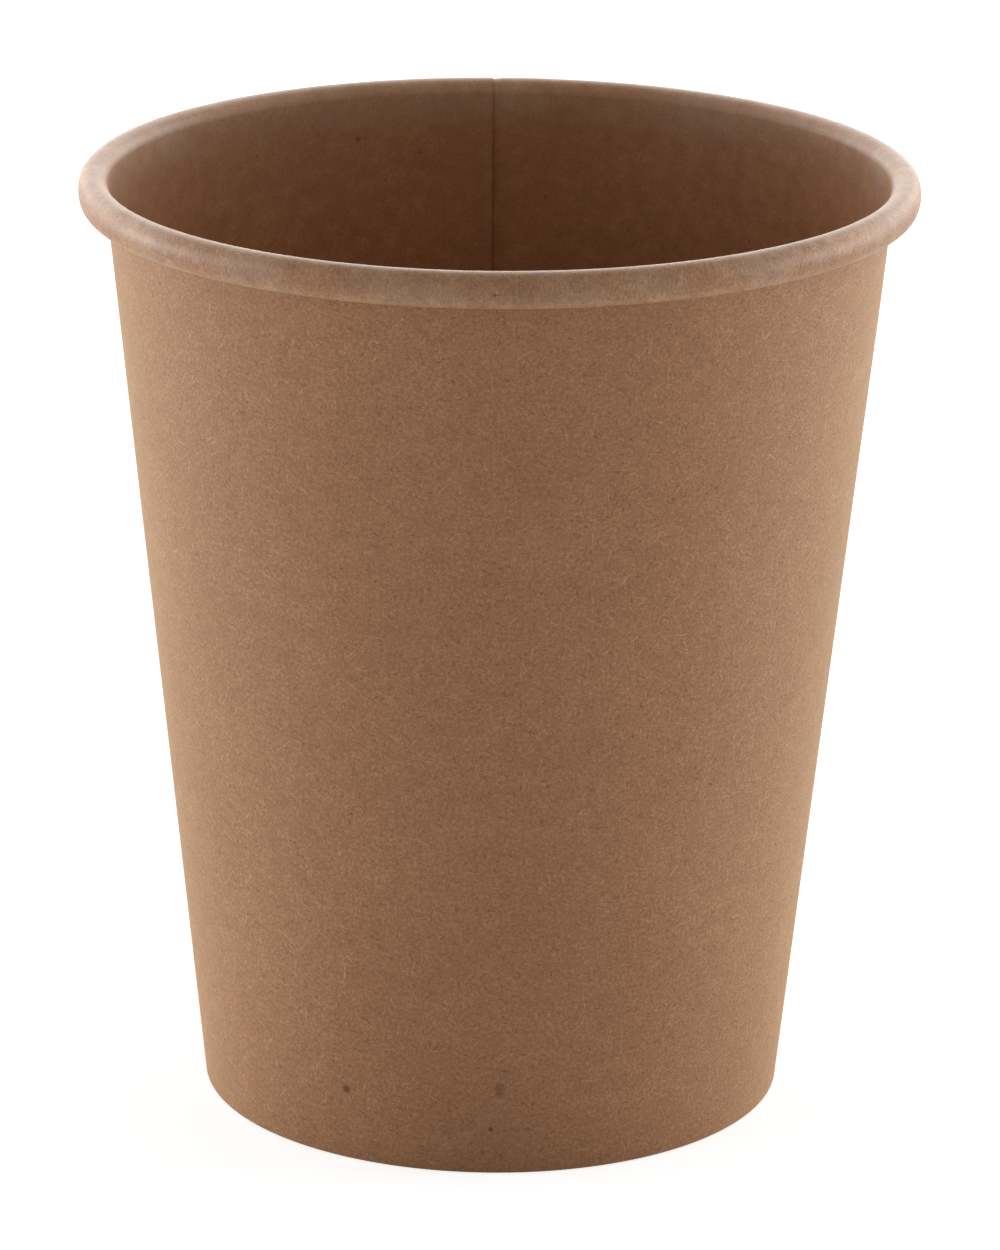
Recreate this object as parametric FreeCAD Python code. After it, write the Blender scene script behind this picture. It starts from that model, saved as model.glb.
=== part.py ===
import FreeCAD, Part
import math
import os

# A single-wall paper cup for hot drinks, made of two pieces of board.
#
# The side wall is one fan-shaped sheet of kraft board. It is wound into a cone, lapped and
# heat-sealed up the back, rolled outward at the top into the rim, and folded inward at the
# foot into a hem. The base disc has its edge turned down into a skirt, and the hem holds
# that skirt against the foot of the wall.
#
# Millimetres, with Z up. The origin is the middle of the circle that the cup stands on.
# Angles are degrees round Z from +X, and the lapped seam is at the back, near +Y.

# Driving dimensions of the cup
CUP_HEIGHT = 91.4  # table to the top of the rim
RIM_DIAMETER = 80.0  # across the rolled rim, which lids fit over
WALL_SLANT = 5.96  # degrees that the wall leans outward
SIDE_BOARD = 0.35  # thickness of the side wall's board
BASE_BOARD = 0.28  # thickness of the base disc's board
FLOOR_HEIGHT = 6.4  # table to the upper face of the base disc

# Driving dimensions of the rolled rim
ROLL_HEIGHT = 3.43  # crest of the rim to its underside
ROLL_CORE_RADIUS = 0.14  # tightest bend inside the roll, where the lap is rolled in
ROLL_GAP = 0.08  # between the tucked-in board and the wall
NOSE_ROOM = 0.63  # from the rim's crest to its nose, beyond the lap's own thickness
NOSE_TURN = 40.0  # degrees of the flatter arc at the nose of the rim

# Driving dimensions of the lapped side seam
SEAM_ANGLE = 91.2  # where the inner flap's cut edge runs up the inside
LAP_WIDTH = 7.0  # overlap of the two flaps, measured at the rim
RAMP_WIDTH = 1.6  # length over which the board steps out over the other flap

# Driving dimensions of the foot
FOLD_RADIUS = 0.05  # inner radius of the hem's two pressed corners
SKIRT_BEND_RADIUS = 0.9  # outer radius of the bend between the disc and its skirt
SEAL_GAP = 0.04  # thickness of the seal on each face of the skirt
EDGE_CLEARANCE = 0.15  # below the skirt's cut edge, and above the hem's

# What follows from them
slant = math.radians(WALL_SLANT)
steep_turn = math.pi / 2 + slant
shallow_turn = math.pi / 2 - slant
lap_board = 2 * SIDE_BOARD
lap_angle = math.degrees(LAP_WIDTH / (RIM_DIAMETER / 2))
ramp_angle = math.degrees(RAMP_WIDTH / (RIM_DIAMETER / 2))
tuck_radius = lap_board + ROLL_CORE_RADIUS
nose_width = lap_board + NOSE_ROOM
crest_radius = RIM_DIAMETER / 2 - nose_width
crest_to_wall = ((1 + math.sin(slant)) * tuck_radius + lap_board + ROLL_GAP) / math.cos(slant)
pocket_width = (BASE_BOARD + 2 * SEAL_GAP) / math.cos(slant)
hem_top = FLOOR_HEIGHT - SKIRT_BEND_RADIUS * (1 + math.sin(slant)) - EDGE_CLEARANCE


def wall_inside(z):
    """Radius of the wall's inner face at height z."""
    roll_underside = CUP_HEIGHT - ROLL_HEIGHT
    return crest_radius - crest_to_wall + (z - roll_underside) * math.tan(slant)


shoulder_radius = (crest_radius - wall_inside(CUP_HEIGHT)) / math.tan(shallow_turn / 2)


class SheetPath:
    """One face of a bent sheet in section, from cut edge to cut edge.

    It goes on in straight runs and bends, each tangent to the last. The sheet lies to the
    right of it, and depth is measured into the sheet. Headings and turns are in radians,
    and a turn to the left is positive. A bend is drawn with its number of chords on the
    outer side and half as many on the inner side.
    """

    def __init__(self, r, z, heading):
        self.r = r
        self.z = z
        self.heading = heading
        self.bends = []
        self.cut()

    def cut(self):
        """Leaves a cut edge, square to the sheet."""
        self.bend(0.0, 0.0, 0)

    def run(self, length):
        """Goes straight on."""
        self.r += length * math.cos(self.heading)
        self.z += length * math.sin(self.heading)

    def bend(self, radius, turn, chords):
        """Turns through an arc of that radius."""
        reach = math.copysign(radius, turn)
        centre_r = self.r - reach * math.sin(self.heading)
        centre_z = self.z + reach * math.cos(self.heading)
        self.bends.append((centre_r, centre_z, reach, self.heading, turn, chords))
        self.heading += turn
        self.r = centre_r + reach * math.sin(self.heading)
        self.z = centre_z - reach * math.cos(self.heading)

    def face(self, depth, outer_turn):
        """Points along the face at that depth, which is the outer side of such turns."""
        points = []
        for centre_r, centre_z, reach, heading, turn, chords in self.bends:
            count = chords if turn * outer_turn > 0 else (chords + 1) // 2
            for i in range(count + 1):
                angle = heading + turn * i / max(count, 1)
                r = centre_r + (reach + depth) * math.sin(angle)
                z = centre_z - (reach + depth) * math.cos(angle)
                points.append(FreeCAD.Vector(r, 0, z))
        return points

    def section(self, near, far):
        """Closed outline of the board between two depths, in the plane of X and Z."""
        self.cut()
        points = self.face(near, -1) + self.face(far, 1)[::-1]
        self.bends.pop()
        return Part.makePolygon(points + points[:1])


def roll_rim(path, layers):
    """Rolls so many layers of board outward at the top, one full turn."""
    nose_turn = math.radians(NOSE_TURN)
    corner_turn = (math.pi - nose_turn) / 2
    # The roll's outer side is an oval of three arcs, as high as the roll
    nose_chord = 2 * math.sin(nose_turn / 2)
    corner_rise = 1 - math.cos(corner_turn)
    nose_share = (1 - math.sin(corner_turn)) / nose_chord
    corner_radius = (nose_width - nose_share * ROLL_HEIGHT) / (
        math.sin(corner_turn) - 2 * nose_share * corner_rise
    )
    nose_radius = (ROLL_HEIGHT - 2 * corner_radius * corner_rise) / nose_chord
    path.bend(shoulder_radius, -shallow_turn, 4)
    path.bend(corner_radius, -corner_turn, 3)
    path.bend(nose_radius, -nose_turn, 2)
    path.bend(corner_radius, -corner_turn, 3)
    # A single layer closes up to the wall by the board that the lap would have taken
    spare = (lap_board - layers * SIDE_BOARD) / (1 + math.sin(slant))
    path.bend(tuck_radius + spare, -steep_turn, 3)


def side_path(layers):
    """The side wall's inner face, where the board is so many layers thick."""
    fold_level = layers * SIDE_BOARD
    steep_corner = FOLD_RADIUS * math.tan(steep_turn / 2)
    shallow_corner = FOLD_RADIUS * math.tan(shallow_turn / 2)
    shoulder = shoulder_radius * math.tan(shallow_turn / 2)
    path = SheetPath(wall_inside(hem_top) - pocket_width, hem_top, -steep_turn)
    path.run((hem_top - fold_level) / math.cos(slant) - steep_corner)
    path.bend(FOLD_RADIUS, steep_turn, 2)
    path.run(pocket_width - steep_corner - shallow_corner)
    path.bend(FOLD_RADIUS, shallow_turn, 2)
    path.run((CUP_HEIGHT - fold_level) / math.cos(slant) - shallow_corner - shoulder)
    roll_rim(path, layers)
    return path


def turned(shape, angle):
    """The shape turned round the cup's axis."""
    copy = shape.copy()
    copy.rotate(FreeCAD.Vector(0, 0, 0), FreeCAD.Vector(0, 0, 1), angle)
    return copy


def swept(section, start, end):
    """The section carried round the cup's axis between two angles."""
    face = Part.Face(turned(section, start))
    return face.revolve(FreeCAD.Vector(0, 0, 0), FreeCAD.Vector(0, 0, 1), end - start)


def ramp(first, start, last, end):
    """The board where it steps from one section to another."""
    return Part.makeLoft([turned(first, start), turned(last, end)], True, True)


def make_side_wall():
    """The wound, lapped, rolled and folded sheet, bonded along its lap into one solid."""
    single = side_path(1).section(0, SIDE_BOARD)
    inner_flap = side_path(2).section(0, SIDE_BOARD)
    outer_flap = side_path(2).section(SIDE_BOARD, lap_board)
    both_flaps = side_path(2).section(0, lap_board)
    ramp_start = SEAM_ANGLE - ramp_angle
    lap_end = SEAM_ANGLE + lap_angle
    ramp_end = lap_end + ramp_angle
    winding = swept(single, ramp_end, ramp_start + 360)
    step_out = ramp(single, ramp_start, outer_flap, SEAM_ANGLE)
    overlap = swept(both_flaps, SEAM_ANGLE, lap_end)
    step_in = ramp(inner_flap, lap_end, single, ramp_end)
    return winding.fuse([step_out, overlap, step_in])


def make_base_disc():
    """The recessed disc, with its edge turned down into a skirt that stands in the hem."""
    seal = SEAL_GAP / math.cos(slant)
    corner = SKIRT_BEND_RADIUS * math.tan(steep_turn / 2)
    skirt_foot = lap_board + EDGE_CLEARANCE
    path = SheetPath(0, FLOOR_HEIGHT, 0)
    path.run(wall_inside(FLOOR_HEIGHT) - seal - corner)
    path.bend(SKIRT_BEND_RADIUS, -steep_turn, 2)
    path.run((FLOOR_HEIGHT - skirt_foot) / math.cos(slant) - corner)
    return swept(path.section(0, BASE_BOARD), 0, 360)


def main():
    os.makedirs("parts", exist_ok=True)
    nodes = {"side_wall": make_side_wall(), "base_disc": make_base_disc()}
    for name, shape in nodes.items():
        shape.exportStep(f"parts/{name}.step")


main()
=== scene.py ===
import math

import bpy
import numpy as np
from mathutils import Matrix, Vector


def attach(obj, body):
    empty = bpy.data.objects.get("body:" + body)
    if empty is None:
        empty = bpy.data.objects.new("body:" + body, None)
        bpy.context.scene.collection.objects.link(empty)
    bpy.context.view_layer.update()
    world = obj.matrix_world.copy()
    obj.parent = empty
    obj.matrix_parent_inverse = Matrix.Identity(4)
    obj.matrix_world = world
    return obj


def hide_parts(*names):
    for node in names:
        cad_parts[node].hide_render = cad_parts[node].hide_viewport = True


# A paper cup of two pieces of kraft board, drawn in the frame of its CAD model.
# Its sizes are millimetres until build_mesh, and its angles are degrees round Z from +X.
# The camera, the floor and the lamps are placed in metres.

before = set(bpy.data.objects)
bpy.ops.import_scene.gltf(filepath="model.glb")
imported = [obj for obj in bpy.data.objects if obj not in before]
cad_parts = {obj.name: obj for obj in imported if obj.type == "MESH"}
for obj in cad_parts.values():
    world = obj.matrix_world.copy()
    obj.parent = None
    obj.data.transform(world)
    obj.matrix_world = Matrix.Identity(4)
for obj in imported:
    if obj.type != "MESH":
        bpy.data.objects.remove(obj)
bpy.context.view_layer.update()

MM = 0.001
SHARP_ANGLE = math.radians(42)  # faces that meet at a greater angle have a sharp edge

# Sizes of the cup, as in the CAD model
CUP_HEIGHT = 91.4
RIM_DIAMETER = 80.0
SLANT = math.radians(5.96)
SIDE_BOARD = 0.35
BASE_BOARD = 0.28
FLOOR_HEIGHT = 6.4
ROLL_HEIGHT = 3.43
ROLL_CORE_RADIUS = 0.14
ROLL_GAP = 0.08
NOSE_ROOM = 0.63
NOSE_TURN = math.radians(40.0)
SEAM_ANGLE = 91.2
LAP_WIDTH = 7.0
RAMP_WIDTH = 1.6
FOLD_RADIUS = 0.05
SKIRT_BEND_RADIUS = 0.9
SEAL_GAP = 0.04
EDGE_CLEARANCE = 0.15

# What follows from them, as in the CAD model
STEEP_TURN = math.pi / 2 + SLANT
SHALLOW_TURN = math.pi / 2 - SLANT
LAP_BOARD = 2 * SIDE_BOARD
LAP_ANGLE = math.degrees(LAP_WIDTH / (RIM_DIAMETER / 2))
RAMP_ANGLE = math.degrees(RAMP_WIDTH / (RIM_DIAMETER / 2))
TUCK_RADIUS = LAP_BOARD + ROLL_CORE_RADIUS
NOSE_WIDTH = LAP_BOARD + NOSE_ROOM
CREST_RADIUS = RIM_DIAMETER / 2 - NOSE_WIDTH
CREST_TO_WALL = ((1 + math.sin(SLANT)) * TUCK_RADIUS + LAP_BOARD + ROLL_GAP) / math.cos(SLANT)
POCKET_WIDTH = (BASE_BOARD + 2 * SEAL_GAP) / math.cos(SLANT)
HEM_TOP = FLOOR_HEIGHT - SKIRT_BEND_RADIUS * (1 + math.sin(SLANT)) - EDGE_CLEARANCE

# The winding of the side wall
LAP_END = SEAM_ANGLE + LAP_ANGLE  # where the inner flap's lap ends
ROUND_AGAIN = SEAM_ANGLE + 360  # where the winding meets the inner flap's cut edge
FRONT_ANGLE = SEAM_ANGLE + 180  # opposite the seam, where the flat blank's middle lies
FLAP_GAP = 0.024  # between the two flaps
PRESSED_BY = 0.26  # that the inner flap's cut edge is pressed thinner where it is rolled
PRESSED_ANGLE = 2.2  # over which it comes back to its thickness
FOOT_POINT = 19  # point of the section from which lengths up the wall are counted
DISC_SAG = 0.22

# Lengths up the sheet between which the rolled rim's tones and painted light come in: painted sheen on
# the roll, a painted highlight over the crest and painted light from below on the underside
ROLL_BEGINS = (86.0, 89.5)
CREST_NEARS = (88.5, 90.5)
PAST_CREST = (91.0, 93.0)
CREST_ENDS = (92.6, 93.8)
UNDERSIDE = (94.3, 96.2)

# Where the patterns of the board lie
FACE_OFFSET = 40.0  # between the patterns of the sheet's inner and outer sides
DISC_OFFSET = 400.0  # from the side wall's pattern to the disc's


def wall_inside(z):
    """Radius of the wall's inner face at height z."""
    return CREST_RADIUS - CREST_TO_WALL + (z - CUP_HEIGHT + ROLL_HEIGHT) * math.tan(SLANT)


SHOULDER_RADIUS = (CREST_RADIUS - wall_inside(CUP_HEIGHT)) / math.tan(SHALLOW_TURN / 2)
CONE_SHARE = math.sin(SLANT)
CONE_START = (wall_inside(0) + SIDE_BOARD) / CONE_SHARE  # from the cone's tip to the foot


# camera
CAMERA_PLACE = (0, -0.596622, 0.236398)
CAMERA_PAN = math.radians(0.0457)
CAMERA_TILT = math.radians(17.7185)
CAMERA_ROLL = math.radians(0.6201)
FOCAL_LENGTH = 6455.32 / 1250  # in picture heights
SENSOR_WIDTH = 36


def make_camera():
    """The camera, fitted to the cup's outline and rim."""
    data = bpy.data.cameras.new("camera")
    camera = bpy.data.objects.new("camera", data)
    bpy.context.scene.collection.objects.link(camera)
    bpy.context.scene.camera = camera
    level = Vector((math.cos(CAMERA_PAN), -math.sin(CAMERA_PAN), 0))
    ahead = Vector((math.sin(CAMERA_PAN), math.cos(CAMERA_PAN), 0))
    forward = math.cos(CAMERA_TILT) * ahead - math.sin(CAMERA_TILT) * Vector((0, 0, 1))
    over = level.cross(forward)
    right = math.cos(CAMERA_ROLL) * level + math.sin(CAMERA_ROLL) * over
    up = math.cos(CAMERA_ROLL) * over - math.sin(CAMERA_ROLL) * level
    turn = Matrix((right, up, -forward)).transposed()
    camera.matrix_world = Matrix.Translation(Vector(CAMERA_PLACE)) @ turn.to_4x4()
    data.sensor_width = SENSOR_WIDTH
    data.lens = SENSOR_WIDTH * FOCAL_LENGTH
    data.clip_start = 0.01
    data.clip_end = 50


# sheet geometry
def ahead_of(heading):
    """The way that a heading points, in radius and height."""
    return np.array([math.cos(heading), math.sin(heading)])


def into_sheet(heading):
    """The way from a face into its sheet, to the right of the heading."""
    return np.array([math.sin(heading), -math.cos(heading)])


class SheetPath:
    """One face of a bent sheet in section, in straight runs and arcs, each tangent to the last.

    The sheet's own length is measured at the depth mid.
    """

    def __init__(self, r, z, heading, mid):
        self.at = np.array([r, z])
        self.heading = heading
        self.mid = mid
        self.parts = []

    def run(self, length, steps):
        """Goes straight on."""
        start, heading = self.at, self.heading

        def spot(t, depth):
            return start + length * t * ahead_of(heading) + depth * into_sheet(heading)

        self.parts.append((spot, length, steps))
        self.at = spot(1, 0)

    def bend(self, radius, turn, steps):
        """Turns through an arc of that radius, to the left where the turn is positive."""
        reach, heading = math.copysign(radius, turn), self.heading
        centre = self.at - reach * into_sheet(heading)

        def spot(t, depth):
            return centre + (reach + depth) * into_sheet(heading + turn * t)

        self.parts.append((spot, abs(reach + self.mid) * abs(turn), steps))
        self.at = spot(1, 0)
        self.heading += turn

    def face(self, depth):
        """Points of the face at that depth, and the sheet's own length up to each of them."""
        points = [self.parts[0][0](0, depth)]
        lengths = [0.0]
        for spot, length, steps in self.parts:
            begun = lengths[-1]
            for i in range(1, steps + 1):
                points.append(spot(i / steps, depth))
                lengths.append(begun + length * i / steps)
        return np.array(points), np.array(lengths)


def roll_rim(path, layers):
    """Rolls the sheet outward at the top, one full turn."""
    corner_turn = (math.pi - NOSE_TURN) / 2
    nose_chord = 2 * math.sin(NOSE_TURN / 2)
    corner_rise = 1 - math.cos(corner_turn)
    nose_share = (1 - math.sin(corner_turn)) / nose_chord
    corner_radius = (NOSE_WIDTH - nose_share * ROLL_HEIGHT) / (
        math.sin(corner_turn) - 2 * nose_share * corner_rise
    )
    nose_radius = (ROLL_HEIGHT - 2 * corner_radius * corner_rise) / nose_chord
    path.bend(SHOULDER_RADIUS, -SHALLOW_TURN, 12)
    path.bend(corner_radius, -corner_turn, 10)
    path.bend(nose_radius, -NOSE_TURN, 8)
    path.bend(corner_radius, -corner_turn, 10)
    spare = (LAP_BOARD - layers * SIDE_BOARD) / (1 + math.sin(SLANT))
    path.bend(TUCK_RADIUS + spare, -STEEP_TURN, 9)


def side_path(layers):
    """The side wall's inner face, where the board is so many layers thick."""
    fold_level = layers * SIDE_BOARD
    steep_corner = FOLD_RADIUS * math.tan(STEEP_TURN / 2)
    shallow_corner = FOLD_RADIUS * math.tan(SHALLOW_TURN / 2)
    shoulder = SHOULDER_RADIUS * math.tan(SHALLOW_TURN / 2)
    path = SheetPath(wall_inside(HEM_TOP) - POCKET_WIDTH, HEM_TOP, -STEEP_TURN, SIDE_BOARD / 2)
    path.run((HEM_TOP - fold_level) / math.cos(SLANT) - steep_corner, 8)
    path.bend(FOLD_RADIUS, STEEP_TURN, 6)
    path.run(POCKET_WIDTH - steep_corner - shallow_corner, 1)
    path.bend(FOLD_RADIUS, SHALLOW_TURN, 5)
    path.run((CUP_HEIGHT - fold_level) / math.cos(SLANT) - shallow_corner - shoulder, 34)
    roll_rim(path, layers)
    return path


def disc_path():
    """The upper face of the base disc and its skirt, from the middle outward."""
    seal = SEAL_GAP / math.cos(SLANT)
    corner = SKIRT_BEND_RADIUS * math.tan(STEEP_TURN / 2)
    skirt_foot = LAP_BOARD + EDGE_CLEARANCE
    path = SheetPath(0, FLOOR_HEIGHT, 0, 0)
    path.run(wall_inside(FLOOR_HEIGHT) - seal - corner, 16)
    path.bend(SKIRT_BEND_RADIUS, -STEEP_TURN, 10)
    path.run((FLOOR_HEIGHT - skirt_foot) / math.cos(SLANT) - corner, 5)
    return path


def rise(value, start, end):
    """Eases from 0 to 1 as the value goes from start to end."""
    t = np.clip((value - start) / (end - start), 0, 1)
    return t * t * (3 - 2 * t)


def blend(first, second, share):
    """The first value carried toward the second."""
    return first + (second - first) * share


def stacked(*parts):
    """Vectors of those parts, which are spread to one shape first."""
    return np.stack(np.broadcast_arrays(*parts), axis=-1)


def turned(r, z, angles):
    """Points at those radii and heights, in columns round the cup's axis."""
    around = np.radians(angles)[:, None]
    return stacked(r * np.cos(around), r * np.sin(around), z)


def waves(seed, angle, along, count, rounds, lengths):
    """Smooth seeded unevenness from -1 to 1, by the angle round the cup and the way along the sheet."""
    rng = np.random.default_rng(seed)
    total = np.zeros(np.broadcast(angle, along).shape)
    for _ in range(count):
        n = rng.integers(rounds[0], rounds[1] + 1)
        length = rng.uniform(*lengths)
        phase_a, phase_b = rng.uniform(0, 2 * math.pi, 2)
        round_part = np.cos(n * np.radians(angle) + phase_a)
        total = total + round_part * np.cos(2 * math.pi * along / length + phase_b)
    return total / count


def round_way(angle):
    """The way round the cup from its front, in millimetres at the rim."""
    return np.radians(angle - FRONT_ANGLE) * RIM_DIAMETER / 2


def blank_place(angle, length):
    """Where a spot of the side wall lies on the flat fan-shaped blank, in millimetres."""
    turned_by = np.radians(angle - FRONT_ANGLE) * CONE_SHARE
    reach = CONE_START + length
    return reach * np.sin(turned_by), reach * np.cos(turned_by)


def build_mesh(name, verts, faces, slots, attributes, materials):
    """One piece, with its materials by face and its vector attributes by point."""
    mesh = bpy.data.meshes.new(name)
    mesh.from_pydata([tuple(v) for v in verts * MM], [], faces)
    mesh.polygons.foreach_set("material_index", slots)
    mesh.polygons.foreach_set("use_smooth", [True] * len(faces))
    for key, values in attributes.items():
        attribute = mesh.attributes.new(key, "FLOAT_VECTOR", "POINT")
        attribute.data.foreach_set("vector", np.asarray(values, np.float32).ravel())
    mesh.update()
    mesh.set_sharp_from_angle(angle=SHARP_ANGLE)
    for material in materials:
        mesh.materials.append(material)
    piece = bpy.data.objects.new(name, mesh)
    bpy.context.scene.collection.objects.link(piece)
    return piece


# side wall
def wall_angles():
    """Angles of the winding's columns, from the inner flap's cut edge to the outer flap's."""
    pressed_end = SEAM_ANGLE + PRESSED_ANGLE
    lap = np.concatenate([
        np.linspace(SEAM_ANGLE, pressed_end, 7),
        np.linspace(pressed_end, LAP_END, 7)[1:],
    ])
    return np.concatenate([
        lap,
        np.linspace(LAP_END, LAP_END + RAMP_ANGLE, 11)[1:],
        np.linspace(LAP_END + RAMP_ANGLE, ROUND_AGAIN - RAMP_ANGLE, 301)[1:],
        np.linspace(ROUND_AGAIN - RAMP_ANGLE, ROUND_AGAIN, 13)[1:],
        lap[1:] + 360,
    ])


def share_in_roll(length):
    """Rises from 0 to 1 where the wall goes over into the roll."""
    return rise(length, 83, 88)[None, :]


def wound_faces(angles, length):
    """The sheet's inner and outer faces as radius and height, in columns from its foot up."""
    single_in, _ = side_path(1).face(0)
    single_out, _ = side_path(1).face(SIDE_BOARD)
    lap_in, _ = side_path(2).face(0)
    lap_out, _ = side_path(2).face(LAP_BOARD)
    into_lap = (lap_out - lap_in) / LAP_BOARD
    first_half = angles < FRONT_ANGLE
    # The inner flap is pressed thin along its cut edge, most of all where it is rolled
    past_edge = np.where(first_half, angles, angles - 360)[:, None] - SEAM_ANGLE
    pressed = PRESSED_BY * share_in_roll(length) * (1 - rise(past_edge, 0, PRESSED_ANGLE))
    pressed = pressed[:, :, None]
    under_out = lap_in + (SIDE_BOARD - FLAP_GAP / 2 - pressed) * into_lap
    over_in = lap_in + (SIDE_BOARD + FLAP_GAP / 2 - pressed) * into_lap
    over_out = lap_in + (LAP_BOARD - pressed) * into_lap
    step_in = rise(angles, LAP_END, LAP_END + RAMP_ANGLE)[:, None, None]
    step_out = rise(angles, ROUND_AGAIN - RAMP_ANGLE, ROUND_AGAIN)[:, None, None]
    first_half = first_half[:, None, None]
    inner_start, inner_end = blend(lap_in, single_in, step_in), blend(single_in, over_in, step_out)
    outer_start, outer_end = blend(under_out, single_out, step_in), blend(single_out, over_out, step_out)
    return np.where(first_half, inner_start, inner_end), np.where(first_half, outer_start, outer_end)


def wall_unevenness(angles, length):
    """How the board strays: the rim leans a trifle to the left, and the wall isn't quite round."""
    around, along = angles[:, None], length[None, :]
    level = 0 * along
    in_roll = share_in_roll(length)
    on_wall = rise(along, 9, 23) * (1 - rise(along, 78, 86))
    lean = 0.16 - 0.13 * np.cos(np.radians(around)) + 0.03 * np.sin(np.radians(2 * around))
    long_dips = 0.015 * (1 + waves(3, around, level, 5, (2, 6), (60, 90)))
    short_dips = 0.012 * (1 + waves(5, around, along, 9, (18, 60), (9, 30)))
    nose_dents = 0.025 * (1 + waves(7, around, level, 5, (2, 7), (60, 90)))
    wall_dents = 0.06 * waves(11, around, along, 9, (2, 9), (40, 150))
    inward = nose_dents * in_roll + wall_dents * on_wall
    downward = (lean + long_dips + short_dips) * in_roll
    return stacked(-inward, -downward)


def strip_faces(columns, rows, first, flip):
    """Quads of a grid whose vertices are numbered column by column."""
    found = []
    for c in range(columns - 1):
        for r in range(rows - 1):
            a = first + c * rows + r
            quad = (a, a + 1, a + rows + 1, a + rows)
            found.append(quad[::-1] if flip else quad)
    return found


def edge_faces(columns, rows):
    """Quads of the cut edges all round a grid that has an inner and an outer side."""
    half = columns * rows
    found = []
    for c in range(columns - 1):
        for r, flip in ((0, False), (rows - 1, True)):
            a, b = c * rows + r, (c + 1) * rows + r
            quad = (a, b, b + half, a + half)
            found.append(quad[::-1] if flip else quad)
    for r in range(rows - 1):
        for c, flip in ((0, True), (columns - 1, False)):
            a, b = c * rows + r, c * rows + r + 1
            quad = (a, b, b + half, a + half)
            found.append(quad[::-1] if flip else quad)
    return found


def make_side_wall(materials):
    """The wound, lapped, rolled and folded sheet as one closed thin solid."""
    _, length = side_path(1).face(0)
    length = length - length[FOOT_POINT]
    angles = wall_angles()
    stray = wall_unevenness(angles, length)
    around, along = angles[:, None], length[None, :]
    x, y = blank_place(around, along)
    verts, sheet, place = [], [], []
    for side, face in enumerate(wound_faces(angles, length)):
        face = face + stray
        verts.append(turned(face[:, :, 0], face[:, :, 1], angles).reshape(-1, 3))
        sheet.append(stacked(x, y, FACE_OFFSET * side).reshape(-1, 3))
        place.append(stacked(round_way(around), along, side).reshape(-1, 3))
    columns, rows = len(angles), len(length)
    inside = strip_faces(columns, rows, 0, False)
    outside = strip_faces(columns, rows, columns * rows, True)
    edges = edge_faces(columns, rows)
    slots = [0] * len(inside) + [1] * len(outside) + [2] * len(edges)
    attributes = {"sheet": np.concatenate(sheet), "place": np.concatenate(place)}
    faces = inside + outside + edges
    return build_mesh("kraft_side_wall", np.concatenate(verts), faces, slots, attributes, materials)


# base disc
def disc_faces(columns, rows):
    """Faces of the disc and their material slots; the two middle points come last."""
    half = columns * rows
    faces, slots = [], []
    for c in range(columns):
        here, there = c * rows, (c + 1) % columns * rows
        faces.append((2 * half, here, there))
        slots.append(0)
        faces.append((2 * half + 1, half + there, half + here))
        slots.append(1)
        for r in range(rows - 1):
            a, b = here + r, there + r
            faces.append((a, a + 1, b + 1, b))
            slots.append(0)
            faces.append((half + b, half + b + 1, half + a + 1, half + a))
            slots.append(1)
        a, b = here + rows - 1, there + rows - 1
        faces.append((a, a + half, b + half, b))
        slots.append(2)
    return faces, slots


def disc_sag(angles, length):
    """How far the disc hangs down, most of all in the middle."""
    around, along = angles[:, None], length[None, :]
    bumps = 0.03 * waves(21, around, along, 6, (1, 4), (20, 50)) * (1 - rise(along, 0, 25))
    return DISC_SAG * (1 - rise(along, 0, 24)) + bumps


def make_base_disc(materials):
    """The recessed disc and its skirt, as one closed thin solid."""
    top, length = disc_path().face(0)
    under, _ = disc_path().face(BASE_BOARD)
    columns, rows = 240, len(top) - 1
    angles = np.linspace(0, 360, columns + 1)[:-1]
    sag = disc_sag(angles, length)
    middle_sag = float(sag[:, 0].mean())
    verts, middles, sheet = [], [], []
    for side, face in enumerate((top, under)):
        spots = turned(face[None, :, 0], face[None, :, 1] - sag, angles)
        verts.append(spots[:, 1:].reshape(-1, 3))
        middles.append([0, 0, face[0, 1] - middle_sag])
        flat = turned(length[None, :], FACE_OFFSET * side, angles) + [DISC_OFFSET, 0, 0]
        sheet.append(flat[:, 1:].reshape(-1, 3))
    sheet.append(np.array([[DISC_OFFSET, 0, 0], [DISC_OFFSET, 0, FACE_OFFSET]]))
    verts.append(np.array(middles))
    sheet = np.concatenate(sheet)
    place = (sheet - [DISC_OFFSET, 0, 0]) / [1, 1, FACE_OFFSET]
    faces, slots = disc_faces(columns, rows)
    attributes = {"sheet": sheet, "place": place}
    return build_mesh("kraft_base_disc", np.concatenate(verts), faces, slots, attributes, materials)


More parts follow.
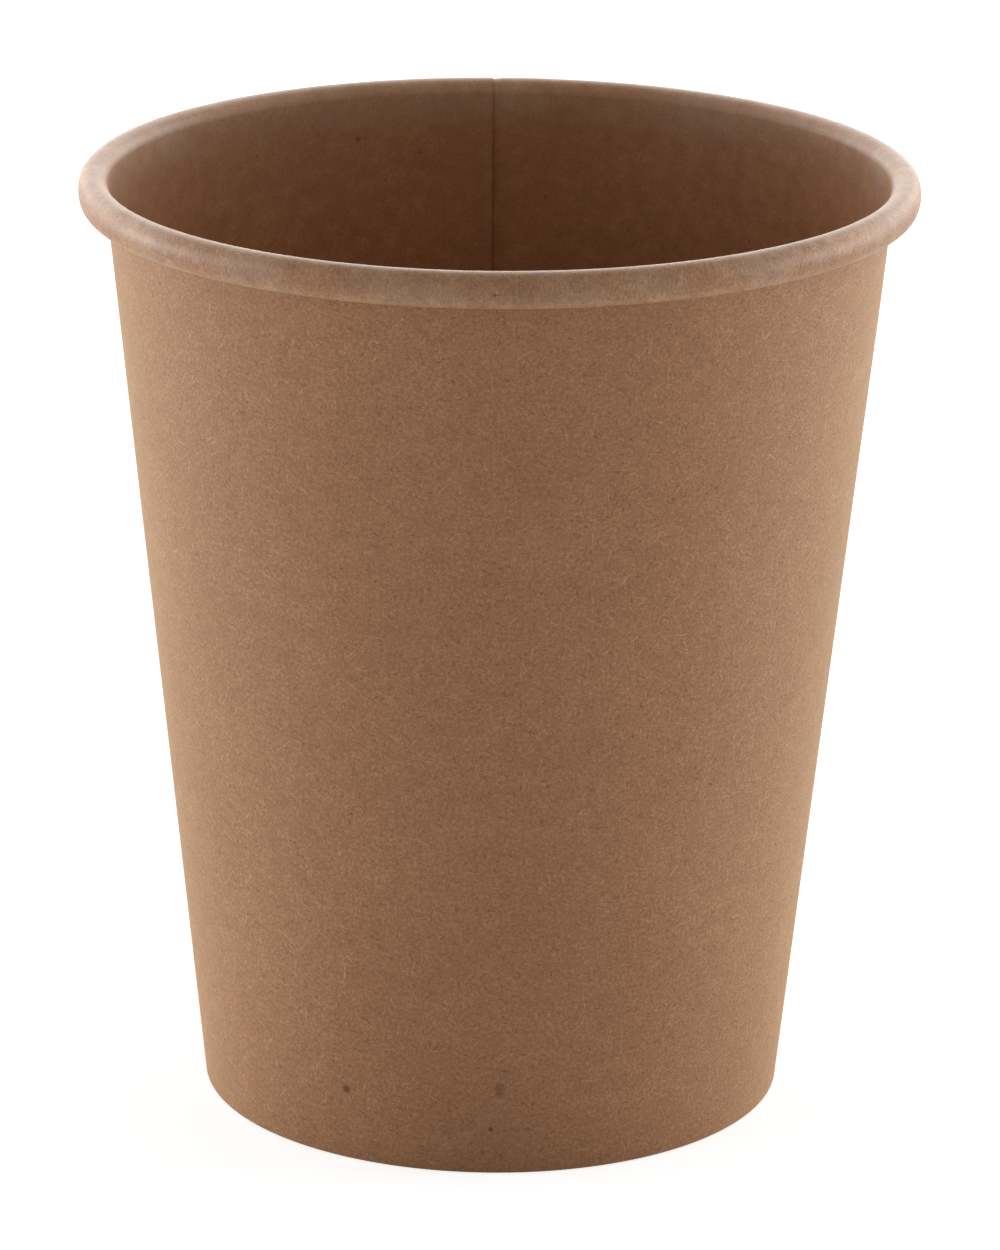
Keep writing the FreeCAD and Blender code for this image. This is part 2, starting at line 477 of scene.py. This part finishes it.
# shader nodes
class Nodes:
    """A node tree, built node by node."""

    def __init__(self, tree):
        self.tree = tree
        self.tree.nodes.clear()

    def add(self, kind, inputs, **settings):
        """A node whose inputs are sockets to link or values to set."""
        made = self.tree.nodes.new(kind)
        for key, value in settings.items():
            setattr(made, key, value)
        for key, value in inputs.items():
            if isinstance(value, bpy.types.NodeSocket):
                self.tree.links.new(value, made.inputs[key])
            else:
                made.inputs[key].default_value = value
        return made

    def calc(self, kind, *values):
        """One math operation on two or three values."""
        return self.add("ShaderNodeMath", dict(enumerate(values)), operation=kind).outputs[0]

    def vary(self, total, value, share):
        """The total, varied by a share of how far the value is from its middle, 0.5."""
        return self.calc("MULTIPLY_ADD", self.calc("SUBTRACT", value, 0.5), share, total)

    def fit(self, value, low, high, to_low=0.0, to_high=1.0, kind="SMOOTHSTEP"):
        """The value mapped from one range to another, and held inside it."""
        inputs = {"Value": value, "From Min": low, "From Max": high, "To Min": to_low, "To Max": to_high}
        return self.add("ShaderNodeMapRange", inputs, interpolation_type=kind).outputs[0]

    def parts(self, vector):
        """The three parts of a vector."""
        return self.add("ShaderNodeSeparateXYZ", {"Vector": vector}).outputs

    def vector(self, kind, *values):
        """One operation on vectors."""
        return self.add("ShaderNodeVectorMath", dict(enumerate(values)), operation=kind).outputs

    def mix(self, base, colour, share):
        """The base colour carried toward another."""
        made = self.add("ShaderNodeMix", {"Factor": share}, data_type="RGBA", blend_type="MIX")
        self.tree.links.new(base, made.inputs[6])
        made.inputs[7].default_value = colour
        return made.outputs[2]

    def noise(self, vector, scale, detail=2.0, roughness=0.5):
        """Noise in three dimensions, as one value."""
        inputs = {"Vector": vector, "Scale": scale, "Detail": detail, "Roughness": roughness}
        return self.add("ShaderNodeTexNoise", inputs, noise_dimensions="3D").outputs[0]

    def streaks(self, vector, angle, length, width, offset):
        """Noise drawn out along one direction of the sheet, in millimetres."""
        inputs = {"Vector": vector, "Angle": math.radians(angle)}
        turned_way = self.add("ShaderNodeVectorRotate", inputs, rotation_type="Z_AXIS").outputs[0]
        shares = (1 / length, 1 / width, 1.0)
        offsets = (offset, offset * 1.7, offset * 0.3)
        drawn = self.vector("MULTIPLY_ADD", turned_way, shares, offsets)[0]
        return self.noise(drawn, 1.0, 1.0, 0.4)

    def fibres(self, vector, kinds, offset, offset_step, low, high):
        """The strongest of several sets of streaks, each with an angle, a length and a width."""
        strongest = None
        for i, (angle, length, width) in enumerate(kinds):
            streak = self.streaks(vector, angle, length, width, offset + offset_step * i)
            line = self.fit(streak, low, high)
            strongest = line if strongest is None else self.calc("MAXIMUM", strongest, line)
        return strongest

    def attribute(self, name):
        """A vector attribute of the mesh."""
        return self.add("ShaderNodeAttribute", {}, attribute_name=name).outputs["Vector"]


def new_material(name):
    """A material and its empty node tree."""
    material = bpy.data.materials.new(name)
    material.use_nodes = True
    return material, Nodes(material.node_tree)


def linear(value):
    """A screen value from 0 to 255 as linear light from 0 to 1."""
    value = value / 255
    return value / 12.92 if value <= 0.04045 else ((value + 0.055) / 1.055) ** 2.4


def tone(red, green, blue):
    """A colour as it looks on a screen, 0 to 255, as the linear colour that shaders take."""
    return (linear(red), linear(green), linear(blue), 1.0)


# kraft board
# Angle on the blank in degrees, length and width in millimetres
PALE_FIBRES = [(4, 2.6, 0.20), (38, 1.9, 0.17), (81, 2.2, 0.19), (118, 1.7, 0.16), (158, 2.3, 0.18)]
DARK_FIBRES = [(20, 0.7, 0.17), (64, 0.5, 0.16), (101, 0.8, 0.18), (141, 0.6, 0.17)]
LONG_FIBRES = [(24, 3.0, 0.15), (86, 2.6, 0.14), (137, 2.8, 0.15)]

# Scale per millimetre, detail and roughness of each noise
CLOUD = (0.09, 3.0, 0.55)
FORMATION = (0.55, 3.0, 0.6)
GRAIN = (2.6, 2.0, 0.6)
FINE_GRAIN = (6.2, 1.0, 0.6)
ROUGH_EDGE = (4.5, 2.0, 0.6)
ROLL_STREAKS = (1.0, 2.0, 0.6)
ROLL_BLOTCHES = (0.42, 2.0, 0.6)
# The patches in which the painted sheen on the rolled rim is stronger or weaker
ROLL_SHEEN_PATCHES = (0.14, 2.0, 0.5)

# The specks' colour, also used for the painted shade beside the seam's cut edges
SPECK_AND_SHADE_COLOUR = tone(88, 40, 8)
# A pale grey painted on the rolled rim as sheen, in random patches
ROLL_PAINTED_SHEEN = tone(200, 204, 188)


def warped_sheet(n, sheet):
    """Places on the sheet bent a little, so that fibres curl."""
    inputs = {"Vector": sheet, "Scale": 0.35, "Detail": 1.0}
    bends = n.add("ShaderNodeTexNoise", inputs, noise_dimensions="3D").outputs[1]
    warp = n.vector("SUBTRACT", bends, (0.5, 0.5, 0.5))[0]
    return n.vector("MULTIPLY_ADD", warp, (1.6, 1.6, 0.0), sheet)[0]


def roll_tone_and_painted_light(n, shade, height):
    """The shade where the board is stretched over the rolled rim: its streaks and blotches, painted light
    from below on its underside and a painted highlight over its crest; and how far it is past the crest.
    """
    place = n.attribute("place")
    past_crest = n.fit(height, *PAST_CREST)
    drawn = n.vector("MULTIPLY", place, (4.4, 1.5, 1.0))[0]
    streaks = n.noise(drawn, *ROLL_STREAKS)
    shade = n.vary(shade, streaks, n.calc("MULTIPLY_ADD", past_crest, 0.55, 0.12))
    # Painted light from below: the roll's underside is made paler
    shade = n.calc("MULTIPLY_ADD", n.fit(height, *UNDERSIDE), 0.24, shade)
    # Painted highlight: paler from the inner shoulder over the crest
    crest = n.calc("SUBTRACT", n.fit(height, *CREST_NEARS), n.fit(height, *CREST_ENDS))
    shade = n.calc("MULTIPLY_ADD", crest, 0.10, shade)
    blotch = n.noise(place, *ROLL_BLOTCHES)
    shade = n.vary(shade, blotch, n.calc("MULTIPLY_ADD", past_crest, 0.40, 0.10))
    return shade, past_crest


def ramp_colour(n, shade, deep, middle, pale):
    """The board's colour by shade, from deep at 0 to pale at 1."""
    ramp = n.add("ShaderNodeValToRGB", {"Fac": shade})
    stops = ramp.color_ramp.elements
    stops[0].position, stops[0].color = 0.0, tone(*deep)
    stops[1].position, stops[1].color = 1.0, tone(*pale)
    stops.new(0.5).color = tone(*middle)
    return ramp.outputs[0]


def shives(n, sheet):
    """Small dark bits scattered by cell, some cells having none."""
    inputs = {"Vector": sheet, "Scale": 0.26}
    cells = n.add("ShaderNodeTexVoronoi", inputs, voronoi_dimensions="3D", feature="F1")
    chance = n.parts(cells.outputs["Color"])
    size = n.fit(chance[1], 0.0, 1.0, 0.012, 0.050, "LINEAR")
    spot = n.fit(n.calc("SUBTRACT", size, cells.outputs["Distance"]), 0.0, 0.012)
    return n.calc("MULTIPLY", n.calc("MULTIPLY", spot, n.fit(chance[0], 0.55, 0.6)), 0.5)


def specks_and_seam_shade(n, sheet, specks, painted_seam_shades):
    """The share of dark colour from the shives, this cup's own specks and the painted shade in the
    corners at the seam.
    """
    mark = shives(n, sheet)
    rough_edge = n.noise(sheet, *ROUGH_EDGE)
    for angle, reach, side, radius, depth in specks:
        spot = (*blank_place(angle, reach), FACE_OFFSET * side)
        away = n.vector("DISTANCE", sheet, spot)["Value"]
        away = n.vary(away, rough_edge, radius * 1.1)
        mark = n.calc("MAXIMUM", mark, n.fit(away, radius * 0.45, radius * 1.15, depth, 0.0))
    # Painted shade in the seam's corners, darkest beside the flaps' cut edges
    around = n.parts(n.attribute("place"))[0]
    for low, high, from_depth, to_depth in painted_seam_shades:
        mark = n.calc("MAXIMUM", mark, n.fit(around, low, high, from_depth, to_depth))
    return mark


def kraft(name, colours, roughness, specular, grit=1.0, mottle=1.0, rolled=False, relief_share=0.5,
          sheen=0.0, sheen_tint=(1.0, 1.0, 1.0, 1.0), specks=(), painted_seam_shades=()):
    """Unbleached board: cloudy pulp, fine grain, short crossing fibres, shives and specks; painted shade
    beside the seam, and painted light and sheen on the rolled rim where rolled.
    """
    material, n = new_material(name)
    sheet = n.attribute("sheet")
    warped = warped_sheet(n, sheet)
    cloud = n.noise(sheet, *CLOUD)
    formation = n.noise(sheet, *FORMATION)
    grain = n.noise(sheet, *GRAIN)
    fine = n.noise(sheet, *FINE_GRAIN)
    pale_fibres = n.fibres(warped, PALE_FIBRES, 3.1, 7.3, 0.68, 0.80)
    dark_fibres = n.fibres(warped, DARK_FIBRES, 51.7, 5.9, 0.64, 0.78)
    long_fibres = n.fibres(warped, LONG_FIBRES, 77.1, 7.1, 0.71, 0.78)
    grains = n.vary(n.vary(0.0, grain, 0.68), fine, 0.56)
    for fibres, share in ((pale_fibres, 0.08), (long_fibres, 0.24), (dark_fibres, -0.33)):
        grains = n.calc("MULTIPLY_ADD", fibres, share, grains)
    shade = n.vary(n.vary(0.5, cloud, 0.14 * mottle), formation, 0.28 * mottle)
    if rolled:
        height = n.parts(n.attribute("place"))[1]
        # The rolled rim's streaks and blotches, with painted light on its underside and a painted
        # highlight over its crest
        shade, past_crest = roll_tone_and_painted_light(n, shade, height)
        grit = n.calc("MULTIPLY_ADD", past_crest, 0.95 - grit, grit)
    shade = n.calc("MULTIPLY_ADD", grains, grit, shade)
    colour = ramp_colour(n, shade, *colours)
    if rolled:
        # Painted sheen: the rolled rim is made paler and greyer, more in some random patches than in
        # others
        patches = n.noise(n.attribute("place"), *ROLL_SHEEN_PATCHES)
        patches = n.fit(patches, 0.40, 0.62, 0.03, 0.11)
        on_roll = n.fit(height, *ROLL_BEGINS)
        colour = n.mix(colour, ROLL_PAINTED_SHEEN, n.calc("MULTIPLY", on_roll, patches))
    # Shives, specks and painted shade beside the seam's cut edges
    colour = n.mix(colour, SPECK_AND_SHADE_COLOUR, specks_and_seam_shade(n, sheet, specks, painted_seam_shades))
    relief = n.calc("MULTIPLY_ADD", fine, 0.8, grain)
    for pattern, share in ((pale_fibres, 0.35), (dark_fibres, -0.35), (formation, 0.8)):
        relief = n.calc("MULTIPLY_ADD", pattern, share, relief)
    bump = n.add("ShaderNodeBump", {"Height": relief, "Strength": relief_share, "Distance": 0.00006})
    inputs = {
        "Base Color": colour,
        "Roughness": n.vary(roughness, grain, 0.3),
        "Normal": bump.outputs[0],
        "IOR": 1.5,
        "Specular IOR Level": specular,
        "Sheen Weight": sheen,
        "Sheen Roughness": 0.5,
        "Sheen Tint": sheen_tint,
    }
    shader = n.add("ShaderNodeBsdfPrincipled", inputs)
    n.add("ShaderNodeOutputMaterial", {"Surface": shader.outputs[0]})
    return material


def wall_reach(z):
    """The sheet's own length at height z on the wall."""
    return (z - SIDE_BOARD) / math.cos(SLANT)


# Angle, length up the sheet, side (0 inner, 1 outer), radius in millimetres and depth of each speck
OUTSIDE_SPECKS = [
    (241.8, wall_reach(7.5), 1, 0.48, 0.88),
    (241.4, wall_reach(7.9), 1, 0.22, 0.40),
    (271.8, wall_reach(9.2), 1, 0.60, 0.48),
    (271.8, wall_reach(8.6), 1, 0.54, 0.44),
    (270.2, wall_reach(4.8), 1, 0.28, 0.95),
    (273.9, wall_reach(13.0), 1, 0.14, 0.60),
    (245.7, wall_reach(36.5), 1, 0.20, 0.65),
    (304.8, wall_reach(68.5), 1, 0.20, 0.70),
    (241.2, wall_reach(73.8), 1, 0.13, 0.55),
    (289.8, wall_reach(74.5), 1, 0.13, 0.50),
]
INSIDE_SPECKS = [
    (112.8, wall_reach(86.0), 0, 0.33, 0.95),
    (102.8, wall_reach(84.2), 0, 0.22, 0.60),
    (108.4, wall_reach(81.6), 0, 0.24, 0.35),
    (131.1, wall_reach(85.6), 0, 0.24, 0.35),
    (381.7, wall_reach(86.7), 0, 0.36, 0.30),
    (368.3, wall_reach(88.5), 0, 0.36, 0.32),
    (269.55, 94.45, 0, 0.19, 0.95),
    (269.95, 94.47, 0, 0.14, 0.60),
    (270.35, 94.43, 0, 0.13, 0.55),
    (270.75, 94.40, 0, 0.12, 0.45),
]

# Painted shade beside the flaps' cut edges, where the seam's corners are shadowed: from and to on the way
# round, and the depth at each
CORNER = round_way(ROUND_AGAIN)
FLAP_EDGE = round_way(SEAM_ANGLE)
FLAP_END = round_way(LAP_END)
INSIDE_SHADES = [(CORNER - 0.35, CORNER - 0.10, 0.0, 0.20), (FLAP_EDGE, FLAP_EDGE + 0.6, 0.20, 0.0)]
OUTSIDE_SHADES = [(FLAP_END + 0.12, FLAP_END + 0.5, 0.45, 0.0)]


def make_raw_board():
    """The board's bare outer side."""
    colours = ((107, 66, 37), (160, 111, 75), (209, 167, 126))
    return kraft("kraft_raw", colours, 0.62, 0.44, sheen=0.12, sheen_tint=(0.72, 1.0, 0.38, 1.0),
                 specks=OUTSIDE_SPECKS, painted_seam_shades=OUTSIDE_SHADES)


def make_coated_board():
    """The inner side, under its thin dull coating, which also faces out on the rolled rim."""
    colours = ((97, 54, 26), (153, 101, 57), (200, 151, 107))
    return kraft("kraft_coated", colours, 0.5, 0.55, grit=0.45, mottle=1.6, rolled=True, relief_share=0.2,
                 sheen=0.05, sheen_tint=(0.8, 1.0, 1.0, 1.0),
                 specks=INSIDE_SPECKS, painted_seam_shades=INSIDE_SHADES)


def make_cut_edge():
    """The paler board in the cut edges."""
    colours = ((120, 82, 54), (182, 140, 106), (222, 190, 158))
    return kraft("kraft_cut_edge", colours, 0.75, 0.5, grit=1.3)


# floor, lamps and world
FLOOR_REACH = 6
FLOOR_GLOW = 0.72  # white added to the floor where the camera or a mirror sees it
WORLD_LIGHT = 0.16
WORLD_IN_GLOSS = 0.84  # added to the world's light in reflections
AIM = (0, 0, 0.05)

# Name, place, width, height and watts of each lamp
LAMPS = [
    ("left_softbox", (-0.95, 0.05, 0.30), 0.5, 0.6, 0.9),
    ("right_softbox", (0.95, 0.05, 0.30), 0.5, 0.6, 1.0),
    ("left_front_softbox", (-0.9, -0.45, 0.30), 0.5, 0.6, 0.95),
    ("right_front_softbox", (0.9, -0.45, 0.30), 0.5, 0.6, 0.75),
    ("left_back_softbox", (-0.75, 0.75, 0.35), 0.7, 0.6, 5.1),
    ("right_back_softbox", (0.75, 0.75, 0.35), 0.7, 0.6, 5.6),
    ("back_softbox", (0.0, 0.95, 0.85), 1.0, 0.6, 4.6),
    ("left_high_softbox", (-0.80, 0.10, 0.85), 0.5, 0.5, 0.7),
    ("right_high_softbox", (0.80, 0.10, 0.85), 0.5, 0.5, 1.3),
    ("left_low_softbox", (-0.95, 0.20, 0.06), 0.6, 0.12, 4.2),
    ("right_low_softbox", (0.95, 0.20, 0.06), 0.6, 0.12, 3.4),
    ("back_low_softbox", (0.0, 1.30, 0.36), 1.3, 0.5, 5.8),
]


def make_floor():
    """The plain pale floor, on which the cup's shadow falls."""
    material, n = new_material("pale_floor")
    plain = n.add("ShaderNodeBsdfDiffuse", {"Color": (0.80, 0.80, 0.80, 1), "Roughness": 1.0})
    path = n.add("ShaderNodeLightPath", {}).outputs
    seen = n.calc("MAXIMUM", path["Is Camera Ray"], path["Is Glossy Ray"])
    seen = n.calc("MAXIMUM", seen, path["Is Transmission Ray"])
    strength = n.calc("MULTIPLY", seen, FLOOR_GLOW)
    glow = n.add("ShaderNodeEmission", {"Color": (1, 1, 1, 1), "Strength": strength})
    both = n.add("ShaderNodeAddShader", {0: plain.outputs[0], 1: glow.outputs[0]})
    n.add("ShaderNodeOutputMaterial", {"Surface": both.outputs[0]})
    mesh = bpy.data.meshes.new("floor")
    corners = [(x * FLOOR_REACH, y * FLOOR_REACH, 0) for x, y in ((-1, -1), (1, -1), (1, 1), (-1, 1))]
    mesh.from_pydata(corners, [], [(0, 1, 2, 3)])
    mesh.materials.append(material)
    floor = bpy.data.objects.new("floor", mesh)
    bpy.context.scene.collection.objects.link(floor)
    return floor


def make_lamp(name, place, width, height, watts):
    """A white softbox that the camera doesn't see."""
    data = bpy.data.lights.new(name, "AREA")
    data.shape = "RECTANGLE"
    data.size, data.size_y = width, height
    data.energy = watts
    lamp = bpy.data.objects.new(name, data)
    lamp.location = place
    lamp.rotation_euler = (Vector(AIM) - Vector(place)).to_track_quat("-Z", "Y").to_euler()
    lamp.visible_camera = False
    bpy.context.scene.collection.objects.link(lamp)


def make_world():
    """A white world, plainly white to the camera and dimmer as a light."""
    world = bpy.data.worlds.new("studio")
    world.use_nodes = True
    bpy.context.scene.world = world
    n = Nodes(world.node_tree)
    path = n.add("ShaderNodeLightPath", {}).outputs
    light = n.calc("MULTIPLY_ADD", path["Is Glossy Ray"], WORLD_IN_GLOSS, WORLD_LIGHT)
    seen = n.calc("MAXIMUM", path["Is Camera Ray"], path["Is Transmission Ray"])
    strength = n.add("ShaderNodeMix", {"Factor": seen, 2: light, 3: 1.0}, data_type="FLOAT")
    around = n.add("ShaderNodeBackground", {"Color": (1, 1, 1, 1), "Strength": strength.outputs[0]})
    n.add("ShaderNodeOutputWorld", {"Surface": around.outputs[0]})


make_camera()
board = [make_coated_board(), make_raw_board(), make_cut_edge()]
side_wall = make_side_wall(board)
base_disc = make_base_disc(board)
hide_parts("side_wall")
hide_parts("base_disc")
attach(side_wall, "root")
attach(base_disc, "root")

floor = make_floor()
for lamp in LAMPS:
    make_lamp(*lamp)
make_world()
bpy.context.scene.view_settings.view_transform = "Standard"
